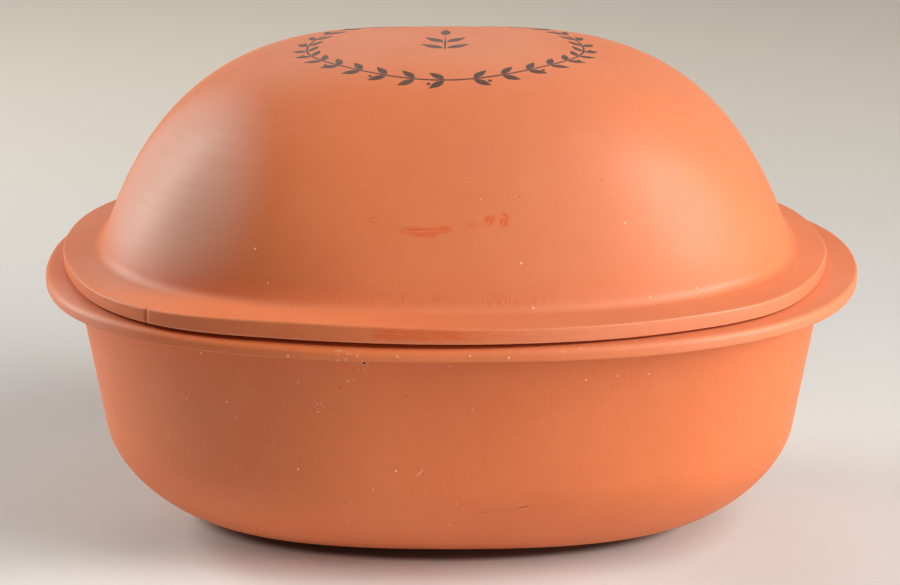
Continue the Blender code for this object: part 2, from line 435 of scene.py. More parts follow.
low = (-EDGE_LOW_CORNER, EDGE_BOTTOM + EDGE_LOW_CORNER)
high = (-EDGE_HIGH_CORNER, FLANGE_TOP - EDGE_HIGH_CORNER)
edge = arc(low, EDGE_LOW_CORNER, -90.0, 0.0, 5) + straight((0.0, low[1]), (0.0, high[1]), 4)
edge += arc(high, EDGE_HIGH_CORNER, 0.0, 90.0, 5)
edge_rings = []
for x, z in edge:
    lifted = z + FLANGE_LIFT * (z - EDGE_BOTTOM) / EDGE_THICKNESS
    edge_rings.append(oval(LID_HALF_LENGTH + x, LID_HALF_WIDTH + x, lifted, centre_x=LID_EDGE_CENTRE))

# %% [markdown]
# ## The trimmed edge of the lid
#
# The lid's edge was cut with a wire and rubbed down by hand, so it wanders off the oval by up to
# a few millimetres. On the left of the front something knocked a small nick into it as well. Both
# are moves of the edge's own rings before the piece is joined.

# %% Uneven edge and nick
NICK_DEPTH = 0.8 * MM
EDGE_WAVE_LENGTH = 0.09
EDGE_WAVE = 0.14 * MM
EDGE_SEED = 21
TRIMS = (
    (201.0, 24.0, -3.1), (233.0, 16.0, 1.5), (249.0, 30.0, -1.8),
    (301.0, 34.0, -1.1), (320.0, 18.0, 1.9), (357.0, 14.0, 1.3),
)

nick = np.clip(1.0 - np.abs(TURNS - NICK_TURN) / NICK_HALF_TURN, 0.0, 1.0)
trim = humps(TRIMS)
shaped_edge = []
for ring in edge_rings:
    outward = ring[:, :2] - (LID_EDGE_CENTRE, 0.0)
    outward /= np.linalg.norm(outward, axis=1, keepdims=True)
    move = soft_waves(ring, EDGE_WAVE_LENGTH, EDGE_WAVE, EDGE_SEED) + trim - NICK_DEPTH * nick
    bent = ring.copy()
    bent[:, :2] += outward * move[:, None]
    shaped_edge.append(bent)

fillet = fillet_rings(9, shaped_edge[-1])
lid_rings = (
    dome_rings(-EDGE_THICKNESS, WALL, CEILING_STEPS)[::-1]
    + lip_rings
    + shaped_edge
    + between(shaped_edge[-1], fillet[0], 4)
    + fillet
    + dome_rings(FOOT_RISE + DOME_FILLET, 0.0, DOME_STEPS)
)
BEFORE_EDGE = CEILING_STEPS + len(lip_rings)
edge_values = [-1.0] * BEFORE_EDGE
edge_values += [(z - EDGE_BOTTOM) / EDGE_THICKNESS for _, z in edge]
edge_values += [2.0] * (len(lid_rings) - len(edge_values))
lid = loft("lid_clay", lid_rings)
mark_rings(lid, "edge_height", edge_values)
print(lid.name, len(lid.data.vertices), "points")

# %% [markdown]
# ## The seat under the lid
#
# The ring of the dish's flange that the lid covers gets painted shade in the finish, which darkens
# the gap under the lid's edge. How far a point of the dish lies inside the lid's edge is found in
# plan and kept with the point, for the finish to use.

# %% Distance under the lid
edge_ring = shaped_edge[0][:, :2]
edge_turns = np.arctan2(edge_ring[:, 1], edge_ring[:, 0])
edge_reach = np.hypot(edge_ring[:, 0], edge_ring[:, 1])
dish_points = np.empty(len(dish.data.vertices) * 3, dtype=np.float32)
dish.data.vertices.foreach_get("co", dish_points)
dish_points = dish_points.reshape(-1, 3)
point_turns = np.arctan2(dish_points[:, 1], dish_points[:, 0])
reach_there = np.interp(point_turns, edge_turns, edge_reach, period=math.tau)
under_lid = reach_there - np.hypot(dish_points[:, 0], dish_points[:, 1])
keep_values(dish, "under_lid", under_lid / MM)
print("deepest point under the lid's edge", round(float(under_lid.max() / MM)), "mm")

# %% [markdown]
# ## Nodes as arithmetic
#
# A finish is a long sum of small causes, and sums read best as Python. This class wraps one
# socket of the node tree and turns +, -, * and / into Math nodes. Every other node comes from
# one method of the recipe, which sets the node's settings first and its sockets after them.

# %% Recipe and amount


class Amount:
    """A number, colour or direction at every point of a surface."""

    def __init__(self, recipe, made, socket):
        self.recipe = recipe
        self.made = made
        self.socket = socket

    def maths(self, operation, first, second):
        return self.recipe.node("ShaderNodeMath", {"operation": operation}, {0: first, 1: second})

    def output(self, name):
        return Amount(self.recipe, self.made, self.made.outputs[name])

    def __add__(self, other):
        return self.maths("ADD", self, other)

    def __sub__(self, other):
        return self.maths("SUBTRACT", self, other)

    def __rsub__(self, other):
        return self.maths("SUBTRACT", other, self)

    def __mul__(self, other):
        return self.maths("MULTIPLY", self, other)

    def __truediv__(self, other):
        return self.maths("DIVIDE", self, other)

    __radd__ = __add__
    __rmul__ = __mul__


class Recipe:
    """One material's node tree, and the ways of adding to it."""

    def __init__(self, name):
        self.material = bpy.data.materials.new(name)
        self.material.use_nodes = True
        self.tree = self.material.node_tree
        self.tree.nodes.clear()

    @classmethod
    def over(cls, tree):
        """A recipe for a node tree that is there already, such as the world's."""
        recipe = cls.__new__(cls)
        recipe.tree = tree
        tree.nodes.clear()
        return recipe

    def node(self, kind, settings=None, sockets=None, out=0):
        made = self.tree.nodes.new(kind)
        for setting, value in (settings or {}).items():
            setattr(made, setting, value)
        for name, value in (sockets or {}).items():
            if isinstance(value, Amount):
                self.tree.links.new(value.socket, made.inputs[name])
            else:
                made.inputs[name].default_value = value
        return Amount(self, made, made.outputs[out] if made.outputs else None)

    def place(self):
        """Where a point is on the piece, in metres."""
        return self.node("ShaderNodeTexCoord", out="Object")

    def axis(self, place, name):
        """How far along X, Y or Z a place is."""
        return self.node("ShaderNodeSeparateXYZ", {}, {0: place}, name)

    def vectors(self, operation, first, second, out=0):
        """A vector sum, or with out "Value" the number that it gives."""
        return self.node("ShaderNodeVectorMath", {"operation": operation}, {0: first, 1: second}, out)

    def stretched(self, place, scale):
        """The place with each axis multiplied."""
        return self.vectors("MULTIPLY", place, scale)

    def cloud(self, place, size, detail=2.0):
        """Soft noise from 0 to 1 whose blobs are about this size, in metres."""
        return self.node("ShaderNodeTexNoise", {}, {"Vector": place, "Scale": 1.0 / size, "Detail": detail})

    def streaks(self, place, scale, detail):
        """Soft noise that is drawn out along the axes with a small scale."""
        return self.cloud(self.stretched(place, scale), 1.0, detail)

    def rise(self, amount, low, high):
        """0 below low, 1 above high, and smooth between."""
        settings = {"interpolation_type": "SMOOTHSTEP"}
        sockets = {"Value": amount, "From Min": low, "From Max": high}
        return self.node("ShaderNodeMapRange", settings, sockets)

    def grains(self, place, spacing, radius):
        """Round spots, 1 in their middles, spread at random."""
        cells = self.node("ShaderNodeTexVoronoi", {}, {"Vector": place, "Scale": 1.0 / spacing}, "Distance")
        return 1.0 - self.rise(cells, 0.5 * radius / spacing, radius / spacing)

    def patch(self, place, centre, size, edge):
        """1 inside an ellipsoid, falling to 0 at its surface."""
        away = self.vectors("DIVIDE", self.vectors("SUBTRACT", place, centre), size)
        away = self.node("ShaderNodeVectorMath", {"operation": "LENGTH"}, {0: away}, "Value")
        return 1.0 - self.rise(away, 1.0 - edge, 1.0)

    def spots(self, place, centres, radius):
        """Round spots of one size, 1 in their middles, at given points."""
        nearest = 1.0
        for centre in centres:
            away = self.vectors("DISTANCE", place, centre, "Value")
            nearest = away.maths("MINIMUM", away, nearest)
        return 1.0 - self.rise(nearest, 0.45 * radius, radius)

    def stroke(self, place, start, end, radius):
        """A straight stroke, 1 along its middle, from one point to the other."""
        line = end - start
        along = self.vectors("DOT_PRODUCT", self.vectors("SUBTRACT", place, start), line, "Value")
        share = self.node("ShaderNodeClamp", {}, {"Value": along / line.length_squared})
        foot = self.node("ShaderNodeVectorMath", {"operation": "SCALE"}, {0: line, "Scale": share})
        away = self.vectors("DISTANCE", place, self.vectors("ADD", foot, start), "Value")
        return 1.0 - self.rise(away, 0.3 * radius, radius)

    def kept(self, attribute):
        """A value that was kept with the points of the mesh."""
        return self.node("ShaderNodeAttribute", {"attribute_name": attribute}, out="Fac")

    def tinted(self, amount, colour, other):
        """colour where amount is 0, and other where it is 1."""
        return self.node("ShaderNodeMix", {"data_type": "RGBA"}, {0: amount, 6: colour, 7: other}, out=2)

    def bump(self, height):
        """The surface's direction, tilted by a height in metres."""
        return self.node("ShaderNodeBump", {}, {"Height": height, "Strength": 1.0, "Distance": 1.0})

    def finish(self, shader):
        self.node("ShaderNodeOutputMaterial", {}, {"Surface": shader})
        return self.material


# %% [markdown]
# ## Fired red clay
#
# Earthenware is dull because its surface is rough on every scale, and the iron in it gives a
# colour that is never quite even. The finish has a mottled base colour, a fine grain with a
# scatter of pale and dark grits, and faint level lines from the sponge. Height differences are
# given in metres to one Bump node.

# %% Clay finish shared by both pieces
LID_CLAY = (0.700, 0.180, 0.060, 1.0)
DISH_CLAY = (0.720, 0.172, 0.049, 1.0)
CLAY_DEEP = (0.600, 0.130, 0.034, 1.0)
CLAY_PALE = (0.770, 0.240, 0.095, 1.0)
GRIT_PALE = (0.900, 0.560, 0.400, 1.0)
GRIT_DARK = (0.180, 0.045, 0.020, 1.0)
CLAY_SHEEN_ROUGHNESS = 0.50
MOTTLE_SIZE = 0.055
MOTTLE_AMOUNT = 0.36
BLUSH_SIZE = 0.020
BLUSH_AMOUNT = 0.20
FINE_SIZE = 0.0011
FINE_AMOUNT = 0.22
FINE_DEPTH = 0.000035
LEVEL_STRETCH = (30.0, 30.0, 900.0)
LEVEL_AMOUNT = 0.10
LEVEL_DEPTH = 0.00002
PALE_GRAINS = (0.016, 0.00036)
DARK_GRAINS = (0.021, 0.00034)
GRAIN_RISE = 0.00006
GRIT_RISE = 0.0001
PALE_GRIT_AMOUNT = 0.9
DARK_GRIT_AMOUNT = 0.55


class Clay:
    """One piece's clay as it is built up: its recipe, colour and height."""

    def __init__(self, name, base):
        self.recipe = Recipe(name)
        self.place = self.recipe.place()
        recipe, place = self.recipe, self.place
        self.mottle = recipe.rise(recipe.cloud(place, MOTTLE_SIZE, 3.0), 0.32, 0.68)
        self.fine = recipe.cloud(place, FINE_SIZE, 3.0)
        level_lines = recipe.streaks(place, LEVEL_STRETCH, 3.0)
        self.colour = recipe.tinted(self.mottle * MOTTLE_AMOUNT, base, CLAY_DEEP)
        self.height = self.fine * FINE_DEPTH + level_lines * LEVEL_DEPTH
        self.tint(recipe.rise(recipe.cloud(place, BLUSH_SIZE, 4.0), 0.5, 0.8) * BLUSH_AMOUNT, CLAY_PALE)
        self.tint(recipe.rise(self.fine, 0.35, 0.75) * FINE_AMOUNT, CLAY_PALE)
        self.tint(recipe.rise(level_lines, 0.45, 0.75) * LEVEL_AMOUNT, CLAY_DEEP)
        self.grit(recipe.grains(place, *PALE_GRAINS), GRIT_PALE, GRAIN_RISE)
        dark_grains = recipe.grains(recipe.stretched(place, (1.0, 1.0, 1.03)), *DARK_GRAINS)
        self.grit(dark_grains, GRIT_DARK, -GRIT_RISE)

    def tint(self, mask, colour):
        """Lay a colour over the clay where the mask is 1."""
        self.colour = self.recipe.tinted(mask, self.colour, colour)

    def press(self, mask, depth):
        """Sink the surface by a depth in metres where the mask is 1."""
        self.height = self.height - mask * depth

    def grit(self, mask, colour, rise):
        """Grains of another colour that stand out or have fallen out."""
        self.tint(mask * (PALE_GRIT_AMOUNT if rise > 0.0 else DARK_GRIT_AMOUNT), colour)
        self.height = self.height + mask * rise

    def material(self):
        bump = self.recipe.bump(self.height)
        sockets = {
            "Base Color": self.colour,
            "Roughness": self.mottle * 0.06 + CLAY_SHEEN_ROUGHNESS,
            "IOR": 1.5,
            "Normal": bump,
        }
        return self.recipe.finish(self.recipe.node("ShaderNodeBsdfPrincipled", {}, sockets))


dish_clay = Clay("dish_fired_clay", DISH_CLAY)
lid_clay = Clay("lid_fired_clay", LID_CLAY)
dish_recipe, dish_place = dish_clay.recipe, dish_clay.place
lid_recipe, lid_place = lid_clay.recipe, lid_clay.place
print("nodes in the shared finish", len(lid_recipe.tree.nodes))

# %% [markdown]
# ## Marks of this one baker
#
# A few marks belong to this baker alone: pale grits, scuffs, a pit, a rub on the lid. Each is
# given as the pixel where the photograph shows it. A ray from the camera through that pixel finds
# the clay under it, so the mark sits on the surface and is right from any side.

# %% From a pixel to the clay
bpy.context.view_layer.update()


def on_clay(piece, pixel):
    """The point of a piece that a pixel of the photograph shows, in metres."""
    across = (pixel[0] - PICTURE_WIDTH / 2) / FOCAL_PIXELS
    up = (PICTURE_HEIGHT / 2 - pixel[1]) / FOCAL_PIXELS
    way = camera.rotation_quaternion @ Vector((across, up, -1.0)).normalized()
    hit, point, _, _ = piece.ray_cast(camera.location, way)
    if not hit:
        raise ValueError(f"pixel {pixel} shows no {piece.name}")
    return point


print("front of the lid's edge", on_clay(lid, (450, 336)))

# %% [markdown]
# ## Grits, scuffs and scratches
#
# Lime and sand grains show as pale dots where the sponge uncovered them, and the odd dark one as
# a speck of iron. Scuffs are groups of tiny pale dots, so a fine noise breaks a soft patch up.

# %% Small marks
GRIT_RADIUS = 0.62 * MM
LID_PALE_GRITS = (
    (533, 308), (295, 310), (268, 283), (255, 249), (179, 172), (181, 186),
    (625, 223), (697, 288), (521, 263), (797, 269), (187, 224),
)
LID_DARK_GRITS = ((601, 181), (519, 197), (195, 194))
DISH_PALE_GRITS = (
    (227, 402), (348, 381), (298, 469), (396, 471), (262, 529), (450, 525), (397, 357), (470, 356),
    (509, 358), (201, 353), (288, 356), (586, 380), (635, 341), (661, 340),
)
DISH_DARK_GRITS = ((340, 388), (406, 396), (429, 514))
LID_FAINT_GRITS = ((776, 286), (744, 284), (650, 297))
DISH_FAINT_GRITS = (
    (373, 489), (351, 503), (348, 521), (457, 504), (298, 383), (187, 399), (235, 417),
    (581, 348), (563, 352), (472, 410), (617, 376), (649, 374), (204, 445), (449, 366), (354, 380),
)
FAINT = 0.45
SCUFFS = (((315, 406), 5.5 * MM), ((336, 357), 4.5 * MM), ((350, 358), 6.5 * MM), ((362, 364), 5.0 * MM))
PIT = (364, 363)
PIT_RADIUS = 0.8 * MM
PIT_RING_RADIUS = 1.7 * MM
SCRATCHES = (
    ((478, 513), (517, 509), GRIT_DARK, 0.25, 0.0001),
    ((518, 508), (528, 506), GRIT_DARK, 0.75, 0.0002),
    ((531, 505), (533, 505), GRIT_DARK, 0.60, 0.0002),
    ((417, 476), (423, 470), GRIT_PALE, 0.55, 0.0001),
)
SCRATCH_RADIUS = 0.35 * MM
RAGGED = 0.5 * MM


def ragged(clay):
    """The place, shaken a little by the fine noise, so that no mark is a perfect disc."""
    shake = (clay.fine - 0.5) * RAGGED
    return clay.recipe.vectors("ADD", clay.place, shake)


def dots(clay, piece, pixels, radius=GRIT_RADIUS):
    """Spots at the given pixels, some of them fainter than others."""
    strength = clay.recipe.rise(clay.recipe.cloud(clay.place, 0.006, 1.0), 0.30, 0.62) * 0.35 + 0.65
    return clay.recipe.spots(ragged(clay), [on_clay(piece, pixel) for pixel in pixels], radius) * strength


lid_clay.grit(dots(lid_clay, lid, LID_PALE_GRITS), GRIT_PALE, GRIT_RISE)
lid_clay.grit(dots(lid_clay, lid, LID_DARK_GRITS), GRIT_DARK, -GRIT_RISE)
lid_clay.grit(dots(lid_clay, lid, LID_FAINT_GRITS) * FAINT, GRIT_PALE, GRIT_RISE)
dish_clay.grit(dots(dish_clay, dish, DISH_PALE_GRITS), GRIT_PALE, GRIT_RISE)
dish_clay.grit(dots(dish_clay, dish, DISH_FAINT_GRITS) * FAINT, GRIT_PALE, GRIT_RISE)
dish_clay.grit(dots(dish_clay, dish, DISH_DARK_GRITS), GRIT_DARK, -GRIT_RISE)

crumbs = dish_recipe.rise(dish_recipe.cloud(dish_place, 0.0014, 2.0), 0.56, 0.66)
for pixel, radius in SCUFFS:
    size = Vector((radius, radius, radius))
    scuff = dish_recipe.patch(dish_place, on_clay(dish, pixel), size, 0.8)
    dish_clay.grit(scuff * crumbs * 0.6, GRIT_PALE, GRIT_RISE)
dish_clay.tint(dots(dish_clay, dish, (PIT,), PIT_RING_RADIUS) * 0.25, GRIT_PALE)
pit = dots(dish_clay, dish, (PIT,), PIT_RADIUS)
dish_clay.tint(pit, GRIT_DARK)
dish_clay.press(pit, 0.0006)
for start, end, colour, strength, depth in SCRATCHES:
    ends = (on_clay(dish, pixel) for pixel in (start, end))
    line = dish_recipe.stroke(ragged(dish_clay), *ends, SCRATCH_RADIUS)
    dish_clay.tint(line * strength, colour)
    dish_clay.press(line, depth)
print("nodes in the dish's finish", len(dish_recipe.tree.nodes))

# %% [markdown]
# ## Drag marks on the dish's wall
#
# The mould was pulled off upwards, and coarse grains dragged faint upright lines down the wall.
# They come from one noise that is long in height, and a slow noise keeps them to some places.

# %% Drag marks
DRAG_STRETCH = (900.0, 900.0, 22.0)
DRAG_AMOUNT = 0.16
DRAG_DEPTH = 0.00003

drags = dish_recipe.streaks(dish_place, DRAG_STRETCH, 2.0)
dragged = dish_recipe.rise(dish_recipe.cloud(dish_place, 0.045, 2.0), 0.40, 0.60)
dish_clay.tint(dish_recipe.rise(drags, 0.45, 0.70) * dragged * DRAG_AMOUNT, CLAY_DEEP)
dish_clay.press(dragged * drags, DRAG_DEPTH)
print("drag marks up to", DRAG_DEPTH / MM, "mm deep")

# %% [markdown]
# ## Painted sheen
#
# A pale pinkish tint is painted sheen: it stands in for the soft gloss that the lamps leave on the
# clay. It lies on the left of the dome, down to its foot, with the level lines of the sponge showing
# through it. Much fainter painted sheen lies on the left of the dish, on its edge at both ends, and
# on the right of the lid. The sheen has no border, so it is an ellipsoid that fades softly.

# %% Painted sheen
PAINTED_SHEEN = (0.740, 0.350, 0.245, 1.0)
DOME_SHEEN_MIDDLE = Vector((-0.150, -0.131, 0.214))
DOME_SHEEN_SIZE = Vector((0.087, 0.165, 0.110))
SHEEN_FOOT = (FLANGE_TOP, FLANGE_TOP + FOOT_RISE)
WIPED_STRETCH = (22.0, 22.0, 850.0)
FAINT_SHEENS = (
    (dish_clay, dish, (84, 307), (0.050, 0.055, 0.012), 0.35),
    (dish_clay, dish, (118, 395), (0.075, 0.100, 0.060), 0.14),
    (dish_clay, dish, (800, 316), (0.200, 0.140, 0.014), 0.18),
    (lid_clay, lid, (620, 150), (0.120, 0.200, 0.090), 0.08),
    (lid_clay, lid, (650, 315), (0.120, 0.060, 0.012), 0.12),
)

height = lid_recipe.axis(lid_place, "Z")
# Painted sheen: a pale pinkish tint on the left of the dome in place of the lamps' gloss.
dome_sheen = lid_recipe.patch(lid_place, DOME_SHEEN_MIDDLE, DOME_SHEEN_SIZE, 0.3)
dome_sheen = dome_sheen * lid_recipe.rise(height, *SHEEN_FOOT)
wiped = lid_recipe.streaks(lid_place, WIPED_STRETCH, 2.0)
lines = lid_recipe.rise(wiped, 0.42, 0.6)
lid_clay.tint(dome_sheen * (0.90 + lines * 0.10), PAINTED_SHEEN)
lid_clay.press(dome_sheen * lines, 0.00002)

# Fainter painted sheen on the dish's left, its edge at both ends, and the right of the lid.
for clay, piece, pixel, size, amount in FAINT_SHEENS:
    faint_sheen = clay.recipe.patch(clay.place, on_clay(piece, pixel), Vector(size), 0.8)
    clay.tint(faint_sheen * amount, PAINTED_SHEEN)
print("nodes in the lid's finish so far", len(lid_recipe.tree.nodes))

# %% [markdown]
# ## Painted shade on the seat
#
# Where the lid rests on the dish, the top of the flange is painted darker, as painted shade in the
# narrow gap under the lid's edge. The value kept for each point says how far in under the lid it
# is, in millimetres, so the painted shade is a band between two distances, on top of the flange
# only. The photograph can't show it, so its strength is a guess.

# %% Painted shade on the seat
SEAT_PAINTED_SHADE = (0.300, 0.050, 0.012, 1.0)
SEAT_STARTS = (0.0, 1.6)
SEAT_ENDS = (8.0, 13.0)
SEAT_SHADE_AMOUNT = 0.6
SEAT_HEIGHTS = (FLANGE_UNDERSIDE + 2.0 * MM, FLANGE_UNDERSIDE + 3.0 * MM)

covered = dish_recipe.kept("under_lid")
flange_height = dish_recipe.axis(dish_place, "Z")
seat_shade = dish_recipe.rise(covered, *SEAT_STARTS) * (1.0 - dish_recipe.rise(covered, *SEAT_ENDS))
on_top = dish_recipe.rise(flange_height, *SEAT_HEIGHTS)
# Painted shade: the covered band of the flange's top is darkened.
dish_clay.tint(seat_shade * on_top * SEAT_SHADE_AMOUNT, SEAT_PAINTED_SHADE)
print("the painted_shade ends", SEAT_ENDS[1], "mm under the lid")

# %% [markdown]
# ## Rubs on the dome
#
# Where something pressed and slid on the damp dome, the clay is smoother and a deeper orange, in
# short streaks. A soft ellipsoid says where the rub is, and noise that is stretched along the
# streaks breaks it up.

# %% Rubs
RUB_COLOUR = (0.680, 0.105, 0.016, 1.0)
ALONG_STREAKS = (130.0, 130.0, 1500.0)
DOWN_STREAKS = (1300.0, 1300.0, 200.0)
RUBS = (
    ((412, 231), (6.5, 8.0, 2.6), ALONG_STREAKS, 1.0),
    ((426, 233), (8.5, 8.0, 2.8), ALONG_STREAKS, 1.0),
    ((442, 229), (6.5, 8.0, 2.6), ALONG_STREAKS, 0.9),
    ((490, 220), (3.4, 8.0, 3.0), DOWN_STREAKS, 1.2),
    ((504, 220), (2.8, 8.0, 3.9), DOWN_STREAKS, 1.4),
    ((471, 227), (5.0, 8.0, 3.4), DOWN_STREAKS, 0.45),
    ((373, 220), (3.4, 8.0, 2.4), ALONG_STREAKS, 0.5),
    ((448, 274), (7.0, 8.0, 1.6), ALONG_STREAKS, 0.25),
)
for pixel, half_sizes, streaks, strength in RUBS:
    size = Vector(half_sizes) * MM
    streak = lid_recipe.rise(lid_recipe.streaks(lid_place, streaks, 2.0), 0.36, 0.60)
    rub_place = lid_recipe.patch(lid_place, on_clay(lid, pixel), size, 0.7)
    lid_clay.tint(rub_place * streak * strength, RUB_COLOUR)

# %% [markdown]
# ## Teeth at the foot of the dome
#
# The scraper that cleaned the hollow between dome and flange left fine upright lines a millimetre
# apart. They are one noise, long in height and short along the oval, kept to the dome's foot.

# %% Scraper lines
TEETH_LOW = FLANGE_TOP + FOOT_RISE
TEETH_HIGH = FLANGE_TOP + 11.5 * MM
TEETH_LEFT = (-0.068, -0.045)
TEETH_RIGHT = (0.030, 0.065)
TEETH_STRETCH = (1000.0, 1000.0, 25.0)
TEETH_DEPTH = 0.00007
TEETH_AMOUNT = 0.5
TEETH_RISE = 3.0 * MM
TEETH_FALL = 4.0 * MM

foot_band = lid_recipe.rise(height, TEETH_LOW, TEETH_LOW + TEETH_RISE)
foot_band = foot_band - lid_recipe.rise(height, TEETH_HIGH - TEETH_FALL, TEETH_HIGH)
across = lid_recipe.axis(lid_place, "X")
in_front = lid_recipe.rise(across, *TEETH_LEFT) - lid_recipe.rise(across, *TEETH_RIGHT)
foot_band = foot_band * in_front
teeth = lid_recipe.streaks(lid_place, TEETH_STRETCH, 1.0)
patches = lid_recipe.rise(lid_recipe.cloud(lid_place, 0.03, 1.0), 0.35, 0.6)
lid_clay.press(foot_band * teeth * patches, TEETH_DEPTH)
lid_clay.tint(lid_recipe.rise(teeth, 0.45, 0.65) * foot_band * patches * TEETH_AMOUNT, CLAY_DEEP)

# %% [markdown]
# ## The lid's trimmed edge
#
# The cut edge shows bare clay: a little browner than the skin, paler along both arrises, and rubbed
# to a deep orange at one place in front. Its right half carries a faint painted sheen, and the front
# left of the flange's top is painted a paler orange as painted light. The value kept for each ring
# says how high on the edge a point is, from 0 to 1.

# %% Edge band
EDGE_BROWN = (0.660, 0.135, 0.032, 1.0)
ARRIS_PALE = (0.840, 0.360, 0.210, 1.0)
EDGE_SHEEN_FROM = (0.0, 0.07)
EDGE_SHEEN_AMOUNT = 0.15
RUB_START = (371, 333)
RUB_END = (476, 335)
RUB_TAIL = (545, 336)
NICK_LIGHT = ((149, 311), (149, 319))
FLANGE_PAINTED_LIGHT = (0.830, 0.235, 0.090, 1.0)
PAINTED_LIGHT_PIXEL = (250, 312)
PAINTED_LIGHT_SIZE = Vector((0.105, 0.050, 0.012))
PAINTED_LIGHT_AMOUNT = 0.65
EDGE_AMOUNT = 0.35
STREAK_AMOUNT = 0.35
EDGE_DEPTH = 0.00008
FULL_RUB = 0.4
BROKEN_RUB = 0.5
FRONT_DEPTHS = (-0.1, -0.08)
ALONG_EDGE = (160.0, 160.0, 1400.0)
BROKEN_ALONG = (260.0, 260.0, 1300.0)

edge_height = lid_recipe.kept("edge_height")
on_edge = lid_recipe.rise(edge_height, 0.02, 0.12) * (1.0 - lid_recipe.rise(edge_height, 0.84, 1.0))
lid_clay.tint(on_edge * EDGE_AMOUNT, EDGE_BROWN)
along_edge = lid_recipe.streaks(lid_place, ALONG_EDGE, 3.0)
lid_clay.tint(on_edge * lid_recipe.rise(along_edge, 0.5, 0.75) * STREAK_AMOUNT, CLAY_DEEP)
lid_clay.press(on_edge * along_edge, EDGE_DEPTH)

front = 1.0 - lid_recipe.rise(lid_recipe.axis(lid_place, "Y"), *FRONT_DEPTHS)
start, end, tail = (on_clay(lid, pixel).x for pixel in (RUB_START, RUB_END, RUB_TAIL))
# Painted sheen on the right half of the edge.
lid_clay.tint(on_edge * lid_recipe.rise(across, *EDGE_SHEEN_FROM) * EDGE_SHEEN_AMOUNT, PAINTED_SHEEN)
rub = lid_recipe.rise(across, start, start + 1.2 * MM)
full = rub - lid_recipe.rise(across, end - 14 * MM, end + 4 * MM)
fading = rub - lid_recipe.rise(across, end - 10 * MM, tail)
broken = lid_recipe.streaks(lid_place, BROKEN_ALONG, 3.0)
broken = lid_recipe.rise(broken, 0.44, 0.56)
rubbed = lid_recipe.rise(edge_height, 0.22, 0.34) * front * on_edge
lid_clay.tint(rubbed * (full * FULL_RUB + fading * broken * BROKEN_RUB), RUB_COLOUR)

nick_start, nick_end = (on_clay(lid, pixel) for pixel in NICK_LIGHT)
lid_clay.tint(lid_recipe.stroke(lid_place, nick_start, nick_end, 0.5 * MM) * 0.5, ARRIS_PALE)

# Painted light: the front left of the flange's top is painted a paler orange, as if more light fell there.
flange_light = lid_recipe.patch(lid_place, on_clay(lid, PAINTED_LIGHT_PIXEL), PAINTED_LIGHT_SIZE, 0.7)
lid_clay.tint(flange_light * lid_recipe.rise(edge_height, 0.9, 1.1) * PAINTED_LIGHT_AMOUNT, FLANGE_PAINTED_LIGHT)

# Paler lines along both arrises, broken up by noise.
low_arris = lid_recipe.rise(edge_height, -0.15, 0.02) * (1.0 - lid_recipe.rise(edge_height, 0.08, 0.17))
high_arris = lid_recipe.rise(edge_height, 0.80, 0.92) * (1.0 - lid_recipe.rise(edge_height, 1.02, 1.3))
arris_noise = lid_recipe.rise(lid_recipe.cloud(lid_place, 0.022, 3.0), 0.35, 0.65)
lid_clay.tint(low_arris * (0.25 + arris_noise * 0.3), ARRIS_PALE)
lid_clay.tint(high_arris * arris_noise * 0.12, ARRIS_PALE)
print("nodes in the lid's finish", len(lid_recipe.tree.nodes))

dish.data.materials.append(dish_clay.material())
lid.data.materials.append(lid_clay.material())

# %% [markdown]
# ## A printed garland
#
# The top of the dome carries a plain decoration in dark brown underglaze: an oval garland of
# leaves with a small sprig inside it. Ink has crisp edges, so it is made as a mesh and not as a
# mask. Each leaf is a strip of cross-lines in plan, and every point of it drops straight down onto
# the lid, so that the ink follows the dome as a thin closed skin.

# %% Ink strips
INK_ABOVE = 0.04 * MM
INK_BELOW = 0.05 * MM
DROP_FROM = 0.3
DOWN = Vector((0.0, 0.0, -1.0))
GARLAND_HALF_LENGTH = 60.5 * MM
GARLAND_HALF_WIDTH = 47.0 * MM
VINE_WIDTH = 0.9 * MM
VINE_STEPS = 180
LEAF_GAP = 0.25 * MM
BERRY_OFFSET = 2.9 * MM
LEAF_PAIRS = 30
LEAF_LENGTH = 8.2 * MM
LEAF_WIDTH = 3.3 * MM
LEAF_SPREAD = math.radians(38.0)
BERRY_RADIUS = 0.85 * MM


def leaf(root, turn, length, width, lines=8):
    """Pairs of plan points from a leaf's root to its tip."""
    along = np.array([math.cos(turn), math.sin(turn)])
    side = np.array([-along[1], along[0]])
    pairs = []
    for share in np.linspace(0.0, 1.0, lines):
        half = 0.5 * width * math.sin(math.pi * share**0.8) + 0.02 * MM
        middle = np.array(root) + along * length * share
        pairs.append((middle + side * half, middle - side * half))
    return pairs


def berry(centre, radius, lines=9):
    """Pairs of plan points across a round dot."""
    pairs = []
    for angle in np.linspace(0.06, math.pi - 0.06, lines):
        left = np.array(centre) + radius * np.array([-math.cos(angle), math.sin(angle)])
        right = np.array(centre) + radius * np.array([-math.cos(angle), -math.sin(angle)])
        pairs.append((left, right))
    return pairs


def garland_point(turn, outward=0.0):
    """A plan point on the garland's oval, or off it by a distance, and the direction of the vine there."""
    point = np.array([GARLAND_HALF_LENGTH * math.cos(turn), GARLAND_HALF_WIDTH * math.sin(turn)])
    along = np.array([-GARLAND_HALF_LENGTH * math.sin(turn), GARLAND_HALF_WIDTH * math.cos(turn)])
    along /= np.linalg.norm(along)
    normal = np.array([along[1], -along[0]])
    return point + normal * outward + (LID_SHIFT, 0.0), math.atan2(along[1], along[0])


print("a leaf's cross-lines", len(leaf((0.0, 0.0), 0.0, LEAF_LENGTH, LEAF_WIDTH)))

# %% [markdown]
# ## Laying out the garland
#
# Leaves grow from the vine in pairs, one outward and one inward, with a berry after every second
# pair. The left half of the garland mirrors the right half, as in most such borders, and the
# sprig in the middle is five leaves on a short stem.

